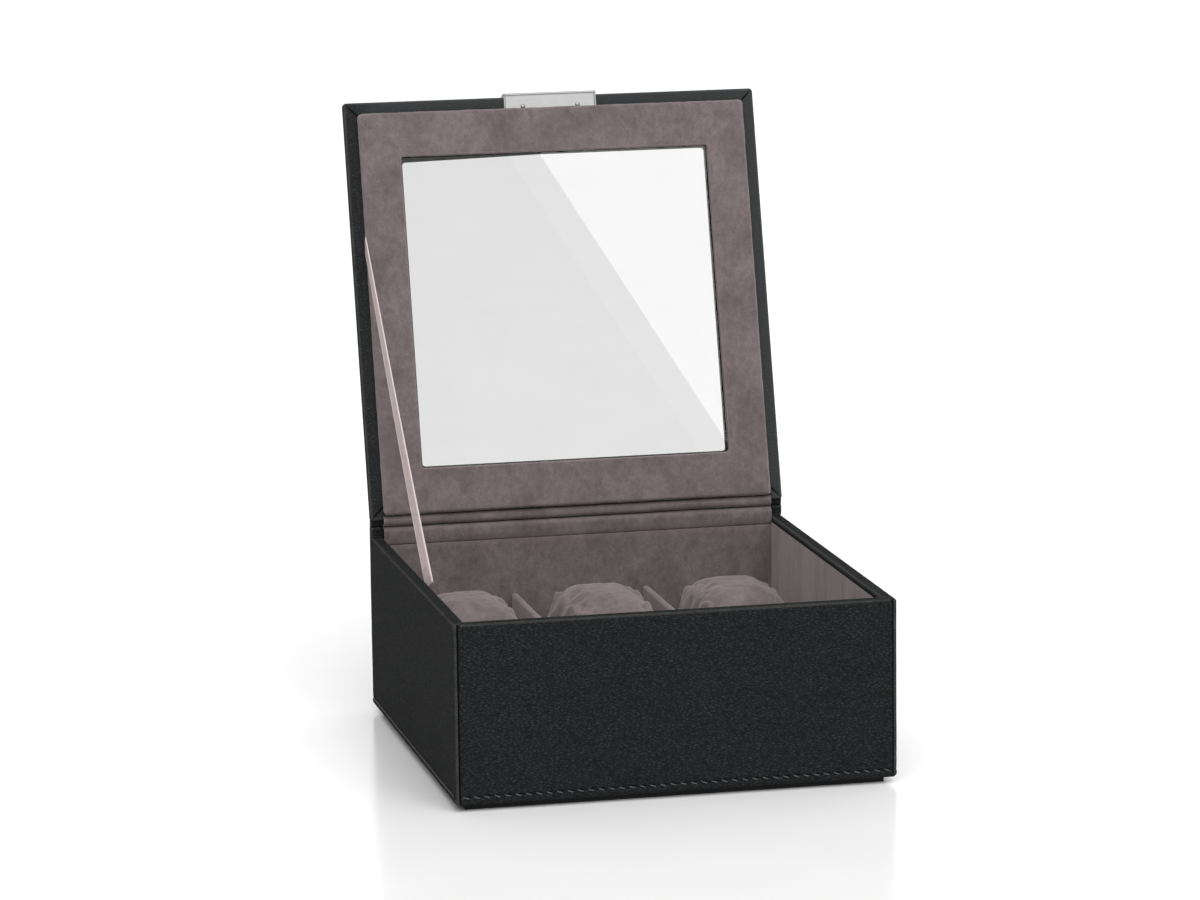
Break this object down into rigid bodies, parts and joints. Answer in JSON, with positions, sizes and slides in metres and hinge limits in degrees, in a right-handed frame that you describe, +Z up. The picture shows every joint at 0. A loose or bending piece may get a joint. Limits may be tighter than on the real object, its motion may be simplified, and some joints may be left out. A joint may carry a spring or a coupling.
{
  "type": "watch box",
  "caption": "Hinged watch box with a glazed lid held open by a stay ribbon, dark leather over board, suede lining, dividers and removable cushions.",
  "frame": {"origin": "centre of the underside of the plinth, on the surface that the box stands on", "axes": "+X to the right along the front, +Y to the back where the hinge is, +Z up; the lid stands open"},
  "size_m": [0.1858, 0.2379, 0.2639],
  "materials": {
    "leather": "fine pebbled grain, satin, near black",
    "plinth": "board covered in matt black paper",
    "board": "raw fibreboard",
    "suede": "short microsuede nap, mauve taupe",
    "cushion_suede": "short microsuede nap, mauve taupe, gathered at the end seams",
    "ribbon": "satin ribbon, pale dusty pink",
    "thread": "waxed thread, charcoal",
    "foam": "open foam sheet",
    "glass": "clear polished sheet",
    "steel": "satin brushed stainless"
  },
  "bodies": {
    "case": {"base_plinth": "plinth", "bottom_board": "board", "floor_lining": "suede", "front_wall_board": "board", "rear_wall_board": "board", "left_wall_board": "board", "right_wall_board": "board", "front_leather": "leather", "left_leather": "leather", "right_leather": "leather", "rear_leather": "leather", "front_lining": "suede", "rear_lining": "suede", "left_lining": "suede", "right_lining": "suede", "row_divider": "suede", "left_column_divider": "suede", "right_column_divider": "suede", "hinge_leather": "leather", "hinge_lining": "suede", "stay_ribbon": "ribbon", "wall_stitching": "thread"},
    "lid": {"lid_board": "board", "lid_leather": "leather", "window_glass": "glass", "panel_board": "board", "panel_foam": "foam", "lid_lining": "suede", "lid_clip": "steel", "clip_rivets": "steel"},
    "cushion_front_left": {"cushion_front_left": "cushion_suede"},
    "cushion_front_middle": {"cushion_front_middle": "cushion_suede"},
    "cushion_front_right": {"cushion_front_right": "cushion_suede"},
    "cushion_rear_left": {"cushion_rear_left": "cushion_suede"},
    "cushion_rear_middle": {"cushion_rear_middle": "cushion_suede"},
    "cushion_rear_right": {"cushion_rear_right": "cushion_suede"}
  },
  "joints": [
    {"name": "lid_hinge", "type": "hinge", "parent": "case", "child": "lid", "pos_m": [0, 0.0936, 0.0827], "axis": [-1, 0, 0], "range_deg": [-105.4, 0], "deforming": ["hinge_leather", "hinge_lining", "stay_ribbon"]},
    {"name": "lift_cushion_front_left", "type": "slide", "parent": "case", "child": "cushion_front_left", "axis": [0, 0, 1], "range_m": [0, 0.08]},
    {"name": "lift_cushion_front_middle", "type": "slide", "parent": "case", "child": "cushion_front_middle", "axis": [0, 0, 1], "range_m": [0, 0.08]},
    {"name": "lift_cushion_front_right", "type": "slide", "parent": "case", "child": "cushion_front_right", "axis": [0, 0, 1], "range_m": [0, 0.08]},
    {"name": "lift_cushion_rear_left", "type": "slide", "parent": "case", "child": "cushion_rear_left", "axis": [0, 0, 1], "range_m": [0, 0.08]},
    {"name": "lift_cushion_rear_middle", "type": "slide", "parent": "case", "child": "cushion_rear_middle", "axis": [0, 0, 1], "range_m": [0, 0.08]},
    {"name": "lift_cushion_rear_right", "type": "slide", "parent": "case", "child": "cushion_rear_right", "axis": [0, 0, 1], "range_m": [0, 0.08]}
  ]
}
